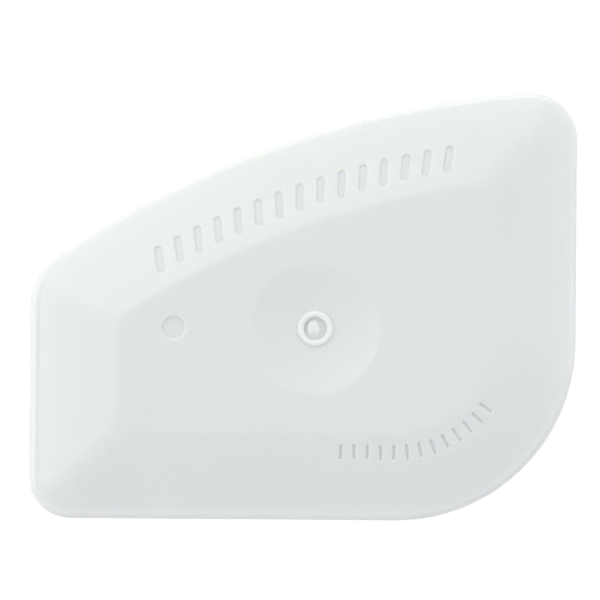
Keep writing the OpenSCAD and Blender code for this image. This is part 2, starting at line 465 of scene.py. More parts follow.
@dataclass(frozen=True)
class EdgeSection:
    """The section from the back, round the thin edge and up the crowned bevel to the plateau."""

    body_t: float
    edge_t: float = 1.6
    edge_round_r: float = 1.12
    landed_round_r: float = 1.22
    back_round_r: float = 0.2
    land_w: float = 0.22
    foot_blend_w: float = 0.3
    bevel_start: float = 2.1
    bevel_w: float = 13.3
    bevel_crown: float = 0.17
    plateau_blend_w: float = 0.9
    steps_back: int = 5
    steps_round: int = 16
    steps_land: int = 3
    steps_blend: int = 5
    steps_plateau: int = 12
    bevel_step: float = 0.95
    tries: int = 20

    @property
    def bevel_run(self) -> float:
        """Width of the bevel's own curve."""
        return self.bevel_w - self.bevel_start

    @property
    def start_height(self) -> float:
        """Height at which the bevel's own curve starts, once it has left the rim at a tangent.

        Returns:
            The height, which is found by going round a few times.
        """
        r = self.edge_round_r
        crown = 4 * self.bevel_crown / self.bevel_run
        height = self.edge_t
        for _ in range(self.tries):
            slope = (self.body_t - height) / self.bevel_run + crown
            tilt = math.atan(slope)
            touch = r * (1 - math.sin(tilt))
            height = self.edge_t - r * (1 - math.cos(tilt)) + slope * (self.bevel_start - touch)
        return height

    @property
    def fall(self) -> float:
        """Mean rise of the bevel for each millimetre of inset."""
        return (self.body_t - self.start_height) / self.bevel_run

    def slope(self, inset: np.ndarray | float) -> np.ndarray | float:
        """Rise of the bevel for each millimetre of inset, at an inset."""
        run = self.bevel_run
        return self.fall + 4 * self.bevel_crown * (run - 2 * (inset - self.bevel_start)) / run**2

    def bevel_height(self, inset: np.ndarray | float) -> np.ndarray | float:
        """Height of the bevel's own curve.

        Args:
            inset: The inset, or several.

        Returns:
            The height at each inset.
        """
        run = self.bevel_run
        u = inset - self.bevel_start
        return self.start_height + self.fall * u + 4 * self.bevel_crown * u * (run - u) / run**2

    def back_points(self) -> list[SectionPoint]:
        """The back's rounding.

        Returns:
            Its points, from the back to the wall.
        """
        r = self.back_round_r
        made = []
        for a in np.linspace(0, math.pi / 2, self.steps_back + 1):
            s, c = math.sin(a), math.cos(a)
            made.append(SectionPoint(r * (1 - s), r * (1 - c), -c, s))
        return made

    def rim_arc(self, radius: float, top: float, last_slope: float) -> list[SectionPoint]:
        """The front's rounding.

        Args:
            radius: Its radius.
            top: Height at which it is level.
            last_slope: Rise for each millimetre of inset where it ends.

        Returns:
            Its points, from the wall inwards.
        """
        made = []
        for a in np.linspace(0, math.pi / 2 - math.atan(last_slope), self.steps_round + 1):
            s, c = math.sin(a), math.cos(a)
            made.append(SectionPoint(radius * (1 - c), top - radius * (1 - s), s, c))
        return made

    def lead_in(self, start: SectionPoint, steps: int) -> list[SectionPoint]:
        """The straight stretch from a point of the rim to the start of the bevel's own curve.

        Args:
            start: The point, which isn't given again.
            steps: Number of steps.

        Returns:
            The stretch's points.
        """
        slope = self.slope(self.bevel_start)
        made = []
        for u in np.linspace(0, 1, steps + 1)[1:]:
            way = u * (self.bevel_start - start.place)
            made.append(SectionPoint(start.place + way, start.height + slope * way, 1, slope))
        return made

    def plain_rim(self) -> list[SectionPoint]:
        """The rounding that leads straight into the bevel."""
        made = self.rim_arc(self.edge_round_r, self.edge_t, self.slope(self.bevel_start))
        return made + self.lead_in(made[-1], self.steps_land + 2 * self.steps_blend)

    def landed_rim(self) -> list[SectionPoint]:
        """The rounding that ends level, on a narrow land that the bevel rises from.

        Returns:
            Its points, as many as the plain rim has.
        """
        slope, blend = self.slope(self.bevel_start), self.foot_blend_w
        land_end = self.landed_round_r + self.land_w
        run = self.bevel_start - land_end
        level = self.start_height - slope * (run - blend / 2)
        made = self.rim_arc(self.landed_round_r, level, 0.0)
        for u in np.linspace(0, 1, self.steps_land + 1)[1:]:
            made.append(SectionPoint(self.landed_round_r + self.land_w * u, level, 1, 0.0))
        for u in np.linspace(0, 1, self.steps_blend + 1)[1:]:
            rise = slope * blend * u * u / 2
            made.append(SectionPoint(land_end + blend * u, level + rise, 1, slope * u))
        return made + self.lead_in(made[-1], self.steps_blend)

    def bevel_points(self) -> list[SectionPoint]:
        """The bevel's own curve, without its two ends.

        Returns:
            Its points, from the rim inwards.
        """
        end = self.bevel_w - self.plateau_blend_w / 2
        steps = round((end - self.bevel_start) / self.bevel_step)
        insets = np.linspace(self.bevel_start, end, steps + 1)[1:-1]
        return [SectionPoint(d, self.bevel_height(d), 1, self.slope(d)) for d in insets]

    def plateau_points(self) -> list[SectionPoint]:
        """The soft border of the plateau.

        Returns:
            Its points, from the bevel inwards.
        """
        start = self.bevel_w - self.plateau_blend_w / 2
        slope, low = self.slope(start), self.bevel_height(start)
        width = 2 * (self.body_t - low) / slope
        made = []
        for u in np.linspace(0, 1, self.steps_plateau + 1):
            drop = slope * width * (1 - u) ** 2 / 2
            made.append(SectionPoint(start + width * u, self.body_t - drop, 1, slope * (1 - u)))
        return made


def turned_loops(
    mesh: SurfaceMesh, centre: np.ndarray, section: list[SectionPoint], count: int
) -> list[np.ndarray]:
    """Adds the circles of a round shape.

    Args:
        mesh: The mesh that takes them.
        centre: The middle of the shape, seen from the front.
        section: The shape's section, from the outside in.
        count: Points in each circle.

    Returns:
        The indices of each circle.
    """
    out = unit(circle_turns(count))
    loops = []
    for point in section:
        places = raised(centre + point.place * out, point.height)
        normals = raised(out * point.way_up, point.way_in)
        loops.append(mesh.add(places, normals, point.thickness))
    return loops


def section_arc(
    centre: tuple[float, float],
    radius: float,
    start: float,
    end: float,
    steps: int,
    thickness: float = math.nan,
) -> list[SectionPoint]:
    """An arc of a round shape's section.

    Args:
        centre: Place and height of the arc's own centre.
        radius: The arc's radius.
        start: First angle in degrees, from the outward direction.
        end: Last angle in degrees.
        steps: Number of steps between them.
        thickness: The thickness that the material reads on the arc, where it isn't the plate's own; a
            small one gives it a painted glow.

    Returns:
        The points of the section.
    """
    sign = math.copysign(1, end - start)
    made = []
    for a in np.radians(np.linspace(start, end, steps + 1)):
        c, s = math.cos(a), math.sin(a)
        place = (centre[0] + radius * c, centre[1] + radius * s)
        made.append(SectionPoint(*place, sign * s, sign * c, thickness))
    return made


def grid_normals(rings: np.ndarray) -> np.ndarray:
    """Normals of a loft, worked out from its own points.

    Args:
        rings: Rings of points, from the outside in, with the same count in each.

    Returns:
        A normal for each point.
    """
    along = np.roll(rings, -1, axis=1) - np.roll(rings, 1, axis=1)
    inward = np.gradient(rings, axis=0)
    return np.cross(along, inward)


@dataclass(frozen=True)
class GateStub:
    """What is left of the gate: torn off level at its top, and slanting at its foot."""

    middle: tuple[float, float] = (-0.25, -0.25)
    half_size: tuple[float, float] = (0.85, 1.3)
    height: float = 0.5
    break_y: float = -0.45
    end_y: float = -1.4
    wall_w: float = 0.42
    squareness: float = 0.7
    gap: float = 0.04
    lean: float = 0.012
    burr_x: float = 0.25
    burr_w: float = 0.07
    burr_h: float = 0.06
    torn_h: float = 0.012
    torn_waves: tuple[float, float] = (7.0, 6.0)
    torn_starts: tuple[float, float] = (2.0, 1.0)
    # A made-up thickness for the stub, thinner than the plate, so that the material gives it a painted
    # glow
    light: float = 2.0
    steps_wall: int = 9
    top_shares: tuple[float, ...] = (0.85, 0.68, 0.5, 0.32, 0.15)
    border_points: int = 720

    def rise(self, plan: np.ndarray) -> np.ndarray:
        """Height of the stub over the well's floor.

        Args:
            plan: Places, from the middle of the ring.

        Returns:
            One height per place: level above the break and falling away below it.
        """
        x, y = plan[:, 0], plan[:, 1]
        share = np.clip((y - self.end_y) / (self.break_y - self.end_y), 0, 1)
        at_burr = np.exp(-(((x - self.burr_x) / self.burr_w) ** 2))
        # The burr fades out over the upper third of the slant
        burr = self.burr_h * at_burr * np.clip(share * 3 - 2, 0, 1)
        waves_x = np.sin(self.torn_waves[0] * x + self.torn_starts[0])
        waves_y = np.sin(self.torn_waves[1] * y + self.torn_starts[1])
        return self.height * share + burr + self.torn_h * waves_x * waves_y * share

    def reach(self, offset: float, turns: np.ndarray) -> np.ndarray:
        """How far the stub's border is from the middle of the ring.

        Args:
            offset: How far the border is moved outward.
            turns: The angles asked for, in radians.

        Returns:
            One distance per angle.
        """
        out = unit(np.linspace(-math.pi, math.pi, self.border_points + 1)[:-1])
        power = np.where(out[:, 1:] > 0, 1.0, self.squareness)
        border = np.sign(out) * np.abs(out) ** power * (np.array(self.half_size) + offset)
        border += self.middle
        bearings = np.arctan2(border[:, 1], border[:, 0])
        return np.interp(turns, bearings, np.hypot(*border.T), period=2 * math.pi)

    def build(self, mesh: SurfaceMesh, well: np.ndarray, centre: np.ndarray) -> None:
        """Adds the stub.

        Args:
            mesh: The plate's mesh.
            well: The loop at the border of the well's floor.
            centre: The middle of the ring.
        """
        turns = circle_turns(len(well))
        border = mesh.place_of(well)
        floor = border[0, 2]
        widest = np.hypot(*(border[0, :2] - centre)) - self.gap
        rings = []
        for u in np.linspace(0, 1, self.steps_wall + 1):
            rings.append((self.reach(self.wall_w * (0.5 - u), turns), ease(u)))
        top = self.reach(-self.wall_w / 2, turns)
        rings += [(top * share, 1.0) for share in self.top_shares]
        places = []
        for k, (reach, lift) in enumerate(rings):
            plan = np.minimum(reach, widest - self.lean * k)[:, None] * unit(turns)
            places.append(raised(plan + centre, floor + lift * self.rise(plan)))
        normals = grid_normals(np.array([border, *places]))[1:]
        normals[0] = [0, 0, 1]
        # The stub's points carry that made-up thickness, for its painted glow
        loops = [mesh.add(*ring, self.light) for ring in zip(places, normals)]
        mesh.skin([well, *loops], capped=True)


@dataclass(frozen=True)
class ThumbDish:
    """The shallow dish with the gate ring and its well."""

    body_t: float
    centre: tuple[float, float] = (1.9, -3.5)
    diameter: float = 19.6
    depth: float = 0.95
    rim_blend: float = 0.6
    ring_d: float = 5.2
    ring_w: float = 0.85
    ring_h: float = 0.45
    ring_round: float = 0.34
    ring_draft: float = 38.0
    ring_foot: float = 0.2
    # A made-up thickness for the ring's crest, so that the material paints it paler: a painted glow
    # for light shining through the thin ring
    ring_glow_thickness: float = 1.65
    well_depth: float = 0.15
    fillet: float = 0.1
    stub: GateStub = field(default_factory=GateStub)
    circle_points: int = 120
    steps_rim: int = 6
    steps_dish: int = 17
    steps_fillet: int = 4
    steps_crest: int = 9

    @property
    def ball_r(self) -> float:
        """Radius of the ball that would fill the dish."""
        return ((self.diameter / 2) ** 2 + self.depth**2) / (2 * self.depth)

    @property
    def bottom(self) -> float:
        """Height of the dish's lowest point."""
        return self.body_t - self.depth

    def cap_height(self, radius: float) -> float:
        """Height of the dish at a distance from its centre."""
        return self.bottom + self.ball_r - math.sqrt(self.ball_r**2 - radius**2)

    def cap_slope(self, radius: float) -> float:
        """Outward rise of the dish at a distance from its centre."""
        return radius / math.sqrt(self.ball_r**2 - radius**2)

    def dish_section(self, foot_r: float) -> list[SectionPoint]:
        """The dish, from its rim to the gate ring.

        Args:
            foot_r: Radius of the ring's foot.

        Returns:
            The points of the section, without the foot itself.
        """
        rim, blend = self.diameter / 2, self.rim_blend
        fall = self.cap_slope(rim)
        made = []
        for u in np.linspace(0, 1, self.steps_rim + 1):
            drop = fall * blend * u * u / 2
            made.append(SectionPoint(rim + blend * (0.5 - u), self.body_t - drop, 1, -fall * u))
        for radius in np.linspace(rim - blend / 2, foot_r, self.steps_dish + 1)[1:-1]:
            made.append(SectionPoint(radius, self.cap_height(radius), 1, -self.cap_slope(radius)))
        return made

    def ring_section(self, foot_r: float) -> list[SectionPoint]:
        """The gate ring, from its foot over its crest to the floor of the well.

        Args:
            foot_r: Radius of the ring's foot.

        Returns:
            The points of the section.
        """
        # The crest carries the made-up thickness, which gives it a painted glow
        f, q, light = self.fillet, self.ring_round, self.ring_glow_thickness
        inner = self.ring_d / 2 - self.ring_w
        foot = self.cap_height(foot_r)
        floor = self.bottom - self.well_depth
        crest = self.bottom + self.ring_h
        draft = math.radians(self.ring_draft)
        wall_h = crest - foot - (q + f) * (1 - math.sin(draft))
        top_r = foot_r - (q + f) * math.cos(draft) - wall_h * math.tan(draft)
        return [
            *section_arc((foot_r, foot + f), f, -90, self.ring_draft - 180, self.steps_fillet),
            *section_arc((top_r, crest - q), q, self.ring_draft, 90, self.steps_crest, light),
            *section_arc((inner + q, crest - q), q, 90, 180, self.steps_crest, light),
            *section_arc((inner - f, floor + f), f, 0, -90, self.steps_fillet),
        ]

    def build(self, mesh: SurfaceMesh) -> np.ndarray:
        """Adds the dish and all that is in it.

        Args:
            mesh: The plate's mesh.

        Returns:
            The loop of the dish's rim, which the plateau goes round.
        """
        centre = np.array(self.centre)
        foot_r = self.ring_d / 2 + self.ring_foot
        section = self.dish_section(foot_r) + self.ring_section(foot_r)
        loops = turned_loops(mesh, centre, section, self.circle_points)
        mesh.skin(loops)
        self.stub.build(mesh, loops[-1], centre)
        return loops[0]


@dataclass(frozen=True)
class PinMark:
    """The shallow round mark that the ejector pin left."""

    body_t: float
    centre: tuple[float, float] = (-19.4, -3.5)
    diameter: float = 3.4
    depth: float = 0.3
    wall_w: float = 0.42
    circle_points: int = 72
    steps_wall: int = 11
    floor_shares: tuple[float, ...] = (0.8, 0.6, 0.4, 0.2)

    def build(self, mesh: SurfaceMesh) -> np.ndarray:
        """Adds the mark.

        Args:
            mesh: The plate's mesh.

        Returns:
            The loop of its rim, which the plateau goes round.
        """
        section = []
        for u in np.linspace(0, 1, self.steps_wall + 1):
            radius = self.diameter / 2 + self.wall_w * (0.5 - u)
            slope = -self.depth * ease_slope(u) / self.wall_w
            section.append(SectionPoint(radius, self.body_t - self.depth * ease(u), 1, slope))
        foot = self.diameter / 2 - self.wall_w / 2
        floor = self.body_t - self.depth
        section += [SectionPoint(foot * share, floor, 1, 0) for share in self.floor_shares]
        loops = turned_loops(mesh, np.array(self.centre), section, self.circle_points)
        mesh.skin(loops, capped=True)
        return loops[0]


@dataclass(frozen=True)
class SunkBar:
    """One bar with round ends, sunk squarely into a bevel."""

    place: np.ndarray
    fall: float
    length: float
    width: float
    slant: float
    depth: float = 0.3
    rim_out: float = 0.1
    wall_in: float = 0.22
    wall_share: float = 0.35
    steps_end: int = 10
    steps_side: int = 4
    steps_wall: int = 7

    def contour(self, offset: float) -> Stretch:
        """The bar's border, moved outward by an offset.

        Args:
            offset: How far the border is moved.

        Returns:
            The points and the outward directions, in the bar's own plane.
        """
        run, radius = (self.length - self.width) / 2, self.width / 2 + offset
        head = unit(np.linspace(0, math.pi, self.steps_end + 1))
        side = np.linspace(run, -run, self.steps_side + 1)[1:-1]
        left = np.column_stack([np.full(len(side), -radius), side])
        left_out = np.tile([-1.0, 0.0], (len(side), 1))
        points = np.vstack([head * radius + [0, run], left, -head * radius - [0, run], -left])
        outs = np.vstack([head, left_out, -head, -left_out])
        turn = math.radians(self.slant)
        spin = np.array([[math.cos(turn), -math.sin(turn)], [math.sin(turn), math.cos(turn)]])
        return points @ spin, outs @ spin

    def build(
        self, mesh: SurfaceMesh, section: EdgeSection, bearing_of: Callable[[np.ndarray], Bearing]
    ) -> np.ndarray:
        """Adds the bar.

        Args:
            mesh: The plate's mesh.
            section: The edge's section, which gives the bevel's height and slope.
            bearing_of: Gives the inset of each point and the way out to the nearest edge.

        Returns:
            The loop of the bar's rim, which the bevel goes round.
        """
        outward = unit(math.radians(self.fall))
        across = np.array([outward[1], -outward[0]])
        outward = outward * math.cos(math.atan(section.fall))
        wide = self.rim_out + min(self.wall_in, self.width * self.wall_share)
        loops = []
        for u in np.linspace(0, 1, self.steps_wall + 1):
            local, outs = self.contour(self.rim_out - wide * u)
            plan = self.place + local[:, :1] * across + local[:, 1:] * outward
            inset, way_out = bearing_of(plan)
            up = raised(way_out * section.slope(inset)[:, None], 1.0)
            up /= np.linalg.norm(up, axis=1, keepdims=True)
            points = raised(plan, section.bevel_height(inset)) - self.depth * ease(u) * up
            side = raised(outs[:, :1] * across + outs[:, 1:] * outward, 0.0)
            loops.append(mesh.add(points, up - self.depth * ease_slope(u) / wide * side))
        mesh.skin(loops, capped=True)
        return loops[0]


@dataclass(frozen=True)
class GripRow:
    """The row of sunk bars along the top bevel."""

    count: int = 15
    pitch: float = 3.3
    length: float = 4.3
    width: float = 1.3
    inset: float = 8.6
    middle_x: float = -0.6
    slant: float = 18.0

    def bars(self, outline: PlateOutline) -> list[SunkBar]:
        """The bars.

        Args:
            outline: The plate's outline.

        Returns:
            The bars, from the right to the left.
        """
        row_r = outline.top_curve_r - self.inset
        centre = outline.top_centre
        middle = math.acos((self.middle_x - centre[0]) / row_r)
        made = []
        for i in range(self.count):
            a = middle + (i - (self.count - 1) / 2) * self.pitch / row_r
            place = centre + row_r * unit(a)
            made.append(SunkBar(place, math.degrees(a), self.length, self.width, self.slant))
        return made

    def bearing_of(self, outline: PlateOutline, plan: np.ndarray) -> Bearing:
        """Where places on the bevel lie from its edge.

        Args:
            outline: The plate's outline.
            plan: Places on the top bevel.

        Returns:
            The inset of each, and the way out to the top curve.
        """
        reach = plan - outline.top_centre
        radius = np.hypot(*reach.T)
        return (outline.top_curve_r - radius) / outline.top_pace, reach / radius[:, None]


@dataclass(frozen=True)
class TickRow:
    """The row of small sunk ticks, which turns with the large curve."""

    count: int = 13
    pitch: float = 2.0
    length: float = 2.5
    width: float = 0.6
    inset: float = 10.3
    lead: float = 8.2
    rim_out: float = 0.08
    wall_in: float = 0.2

    def bars(self, outline: PlateOutline) -> list[SunkBar]:
        """The ticks.

        Args:
            outline: The plate's outline.

        Returns:
            The ticks, from the left to the right.
        """
        row_r = outline.corner_br_r - self.inset
        made = []
        for i in range(self.count):
            run = i * self.pitch - self.lead
            a = -math.pi / 2 + max(run, 0) / row_r
            place = outline.large_centre + row_r * unit(a) + [min(run, 0), 0]
            tick = SunkBar(
                place,
                math.degrees(a),
                self.length,
                self.width,
                slant=0.0,
                rim_out=self.rim_out,
                wall_in=self.wall_in,
            )
            made.append(tick)
        return made

    def bearing_of(self, outline: PlateOutline, plan: np.ndarray) -> Bearing:
        """Where places on the bevel lie from its edge.

        Args:
            outline: The plate's outline.
            plan: Places on the bottom bevel or the one along the large curve.

        Returns:
            The inset of each, and the way out to the bottom edge or the large curve.
        """
        reach = plan - outline.large_centre
        radius = np.hypot(*reach.T)
        on_line = reach[:, 0] < 0
        inset = np.where(on_line, plan[:, 1] + outline.height / 2, outline.corner_br_r - radius)
        return inset, np.where(on_line[:, None], [0.0, -1.0], reach / radius[:, None])


@dataclass(frozen=True)
class Patch:
    """A stretch of the bevel that holds a row of marks.

    The columns and levels of quads stay open for it, and the rims are the loops of its marks.
    """

    columns: range
    levels: range
    rims: list[np.ndarray]


@dataclass
class ScraperPlate:
    """The whole scraper, which is one moulding."""

    outline: PlateOutline
    section: EdgeSection
    dish: ThumbDish
    pin_mark: PinMark
    grips: GripRow = field(default_factory=GripRow)
    ticks: TickRow = field(default_factory=TickRow)
    patch_margin: float = 2.6
    mark_clearance: float = 0.42
    front_step: float = 2.2
    back_step: float = 3.0

    def level_loop(self, point: SectionPoint) -> Stretch:
        """The loop that passes through one point of the section.

        Args:
            point: The point of the section.

        Returns:
            The loop's points and their normals, not yet in any mesh.
        """
        plan, tangents = self.outline.loop(point.place)
        drift = self.outline.drift(point.place)
        run = raised(drift * point.way_in, point.way_up)
        normals = np.cross(raised(tangents, 0.0), run)
        normals /= np.linalg.norm(normals, axis=1, keepdims=True)
        return raised(plan, point.height), normals

    def section_loops(self, mesh: SurfaceMesh, points: list[SectionPoint]) -> list[np.ndarray]:
        """Adds the loops that pass through these points of the section."""
        return [mesh.add(*self.level_loop(point)) for point in points]

    def rim_loops(self, mesh: SurfaceMesh) -> list[np.ndarray]:
        """Adds the rim, whose land fades away past the ends of the left edge.

        Args:
            mesh: The plate's mesh.

        Returns:
            The loops' indices, from the back to the bevel's start.
        """
        loops = self.section_loops(mesh, self.section.back_points())
        share = self.outline.land_share()[:, None]
        for plain, landed in zip(self.section.plain_rim(), self.section.landed_rim()):
            points, normals = self.level_loop(plain)
            landed_points, landed_normals = self.level_loop(landed)
            points = points + share * (landed_points - points)
            normals = normals + share * (landed_normals - normals)
            loops.append(mesh.add(points, normals))
        return loops

    def build(self) -> bpy.types.Object:
        """Builds the plate.

        Returns:
            The finished object.
        """
        mesh = SurfaceMesh()
        edge = self.rim_loops(mesh)
        bevel = self.section_loops(mesh, self.section.bevel_points())
        border = self.section_loops(mesh, self.section.plateau_points())
        mesh.skin(edge)
        self.build_bevel(mesh, [edge[-1], *bevel, border[0]])
        mesh.skin(border)
        holes = [self.dish.build(mesh), self.pin_mark.build(mesh)]
        mesh.fill_flat(border[-1], holes, self.front_step, Face.FRONT)
        mesh.fill_flat(edge[0], [], self.back_step, Face.BACK)
        return mesh.build("scraper_plate", self.thickness_of)

    def thickness_of(self, points: np.ndarray) -> np.ndarray:
        """How thick the plate is at each point of its surface.

        Args:
            points: One row per point.

        Returns:
            The height of the front over each point of the back, and of each other point itself.
        """
        section = self.section
        rim, _ = self.outline.loop(0.0)
        inset = gap_to_loops(points[:, :2], [rim])
        insets = [0, section.bevel_start, section.bevel_w]
        heights = [section.edge_t - section.edge_round_r, section.start_height, section.body_t]
        front = np.interp(inset, insets, heights)
        return np.where(points[:, 2] > section.back_round_r, points[:, 2], front)

    def build_bevel(self, mesh: SurfaceMesh, rings: list[np.ndarray]) -> None:
        """Lofts the bevel, and fills the two stretches that hold sunk marks round the marks.

        Args:
            mesh: The plate's mesh.
            rings: The bevel's loops, from its foot to its top.
        """
        patches = [self.patch(mesh, rings, row) for row in (self.grips, self.ticks)]
        for k, (outer, inner) in enumerate(zip(rings, rings[1:])):
            open_at = {column for p in patches if k in p.levels for column in p.columns}
            mesh.loft(outer, inner, open_at)
        for patch in patches:
            self.fill_patch(mesh, rings, patch)

    def patch(self, mesh: SurfaceMesh, rings: list[np.ndarray], row: GripRow | TickRow) -> Patch:
        """Adds a row of marks and finds the stretch of the bevel that it needs.

        Args:
            mesh: The plate's mesh.
            rings: The bevel's loops.
            row: The row of marks.

        Returns:
            The stretch.
        """
        def bearing_of(plan: np.ndarray) -> Bearing:
            """The row's own bearing on this outline."""
            return row.bearing_of(self.outline, plan)

        bars = row.bars(self.outline)
        rims = [bar.build(mesh, self.section, bearing_of) for bar in bars]
        half = row.length / 2 + self.mark_clearance
        insets = [self.outline.width / 2 - mesh.place_of(ring)[:, 0].max() for ring in rings]
        low = max(k for k, inset in enumerate(insets) if inset < row.inset - half)
        high = min(k for k, inset in enumerate(insets) if inset > row.inset + half)
        middle = mesh.plan_of(rings[(low + high) // 2])
        ends = [np.hypot(*(middle - bar.place).T).argmin() for bar in (bars[0], bars[-1])]
        pace = np.hypot(*(middle[ends[0] + 1] - middle[ends[0]]))
        reach = math.ceil(self.patch_margin / pace)
        return Patch(range(min(ends) - reach, max(ends) + reach), range(low, high), rims)

    def fill_patch(self, mesh: SurfaceMesh, rings: list[np.ndarray], patch: Patch) -> None:
        """Fills one stretch of the bevel with triangles that run round its marks.

        Args:
            mesh: The plate's mesh.
            rings: The bevel's loops.
            patch: The stretch.
        """
        first, last = patch.columns.start, patch.columns.stop
        low, high = patch.levels.start, patch.levels.stop
        border = [
            rings[low][first : last + 1],
            np.array([rings[k][last] for k in range(low + 1, high)], dtype=int),
            rings[high][first : last + 1][::-1],
            np.array([rings[k][first] for k in range(high - 1, low, -1)], dtype=int),
        ]
        inner = np.concatenate([rings[k][first + 1 : last] for k in range(low + 1, high)])
        rim_plans = [mesh.plan_of(rim) for rim in patch.rims]
        plan = mesh.plan_of(inner)
        clear = gap_to_loops(plan, rim_plans) > self.mark_clearance
        for rim in rim_plans:
            clear &= ~inside(plan, rim)
        mesh.fill(np.concatenate(border), patch.rims, inner[clear], Face.FRONT)


class NodeSheet:
    """Short ways to place and join the nodes of one tree."""

    def __init__(self, tree: bpy.types.NodeTree) -> None:
        """Takes the tree and clears it."""
        self.tree = tree
        tree.nodes.clear()

    def feed(self, socket: Socket, value: Value) -> None:
        """Links an input to an output, or sets it to a plain value.

        Args:
            socket: The input.
            value: The output or the plain value.
        """
        if isinstance(value, Socket):
            self.tree.links.new(value, socket)
        else:
            socket.default_value = value

    def add(
        self,
        kind: str,
        inputs: dict[str, Value] | dict[int, Value] | None = None,
        **settings: str | bool | bpy.types.NodeTree,
    ) -> bpy.types.Node:
        """Places a node.

        Args:
            kind: The node's type.
            inputs: What its inputs are given, by name or by position.
            **settings: Properties of the node by name.

        Returns:
            The node.
        """
        node = self.tree.nodes.new(kind)
        for name, setting in settings.items():
            setattr(node, name, setting)
        for key, value in (inputs or {}).items():
            self.feed(node.inputs[key], value)
        return node

    def maths(self, operation: str, a: Value, b: Value, clamp: bool = False) -> Socket:
        """What a Math node makes of two values, held between 0 and 1 if it is clamped."""
        node = self.add("ShaderNodeMath", {0: a, 1: b}, operation=operation, use_clamp=clamp)
        return node.outputs[0]

    def blend(self, share: Socket, low: Socket | Colour, high: Socket | Colour) -> Socket:
        """Mixes two colours.

        Args:
            share: How much of the second colour there is.
            low: First colour.
            high: Second colour.

        Returns:
            The mixed colour.
        """
        low, high = (c if isinstance(c, Socket) else (*c, 1.0) for c in (low, high))
        node = self.add("ShaderNodeMix", {"Factor": share}, data_type="RGBA")
        self.feed(node.inputs[6], low)
        self.feed(node.inputs[7], high)
        return node.outputs[2]

    def span(self, value: Socket, low: float, high: float, to_low: float, to_high: float) -> Socket:
        """Maps a value from one span to another, and holds it there.

        Args:
            value: The value.
            low: Start of the span that it comes from.
            high: End of that span.
            to_low: Start of the span that it goes to.
            to_high: End of that span.

        Returns:
            The mapped value.
        """
        inputs = {
            "Value": value,
            "From Min": low,
            "From Max": high,
            "To Min": to_low,
            "To Max": to_high,
        }
        return self.add("ShaderNodeMapRange", inputs, clamp=True).outputs["Result"]

    def object_place(self) -> Socket:
        """Where on the object the shaded point is."""
        return self.add("ShaderNodeTexCoord").outputs["Object"]


def new_material(name: str) -> tuple[bpy.types.Material, NodeSheet]:
    """A material with nothing in it.

    Args:
        name: Its name.

    Returns:
        The material and its empty sheet of nodes.
    """
    material = bpy.data.materials.new(name)
    material.use_nodes = True
    return material, NodeSheet(material.node_tree)


@dataclass(frozen=True)
class FineGrain:
    """The fine grain that the plastic and the table share, as a group of nodes."""

    detail: float = 3.0
    roughness: float = 0.6
    mask_from: float = 0.35
    mask_to: float = 0.65

    def group(self) -> bpy.types.ShaderNodeTree:
        """Builds the group.

        Returns:
            A group with Vector and Scale inputs and Height and Mask outputs.
        """
        tree = bpy.data.node_groups.new("fine_grain", "ShaderNodeTree")
        tree.interface.new_socket("Vector", in_out="INPUT", socket_type="NodeSocketVector")
        tree.interface.new_socket("Scale", in_out="INPUT", socket_type="NodeSocketFloat")
        tree.interface.new_socket("Height", in_out="OUTPUT", socket_type="NodeSocketFloat")
        tree.interface.new_socket("Mask", in_out="OUTPUT", socket_type="NodeSocketFloat")
        sheet = NodeSheet(tree)
        start = sheet.add("NodeGroupInput")
        inputs = {
            "Vector": start.outputs["Vector"],
            "Scale": start.outputs["Scale"],
            "Detail": self.detail,
            "Roughness": self.roughness,
        }
        height = sheet.add("ShaderNodeTexNoise", inputs).outputs["Fac"]
        mask = sheet.span(height, self.mask_from, self.mask_to, 0.0, 1.0)
        sheet.add("NodeGroupOutput", {"Height": height, "Mask": mask})
        return tree


@dataclass(frozen=True)
class Scratches:
    """Hair-fine scratches that all run one way."""

    angle: float
    stretch: float
    least: float
    fineness: float = 9000.0
    fade: float = 0.05

    def mask(self, sheet: NodeSheet, place: Socket) -> Socket:
        """Where the scratches are.

        Args:
            sheet: The material's nodes.
            place: Where on the object the point is.

        Returns:
            The scratches, from 0 to 1.
        """
        turned = sheet.add(
            "ShaderNodeMapping",
            {
                "Vector": place,
                "Rotation": (0.0, 0.0, math.radians(self.angle)),
                "Scale": (self.stretch, self.fineness, 1.0),
            },
        )
        inputs = {"Vector": turned.outputs["Vector"], "Scale": 1.0, "Detail": 1.0}
        lines = sheet.add("ShaderNodeTexNoise", inputs).outputs["Fac"]
        return sheet.span(lines, self.least, self.least + self.fade, 0.0, 1.0)


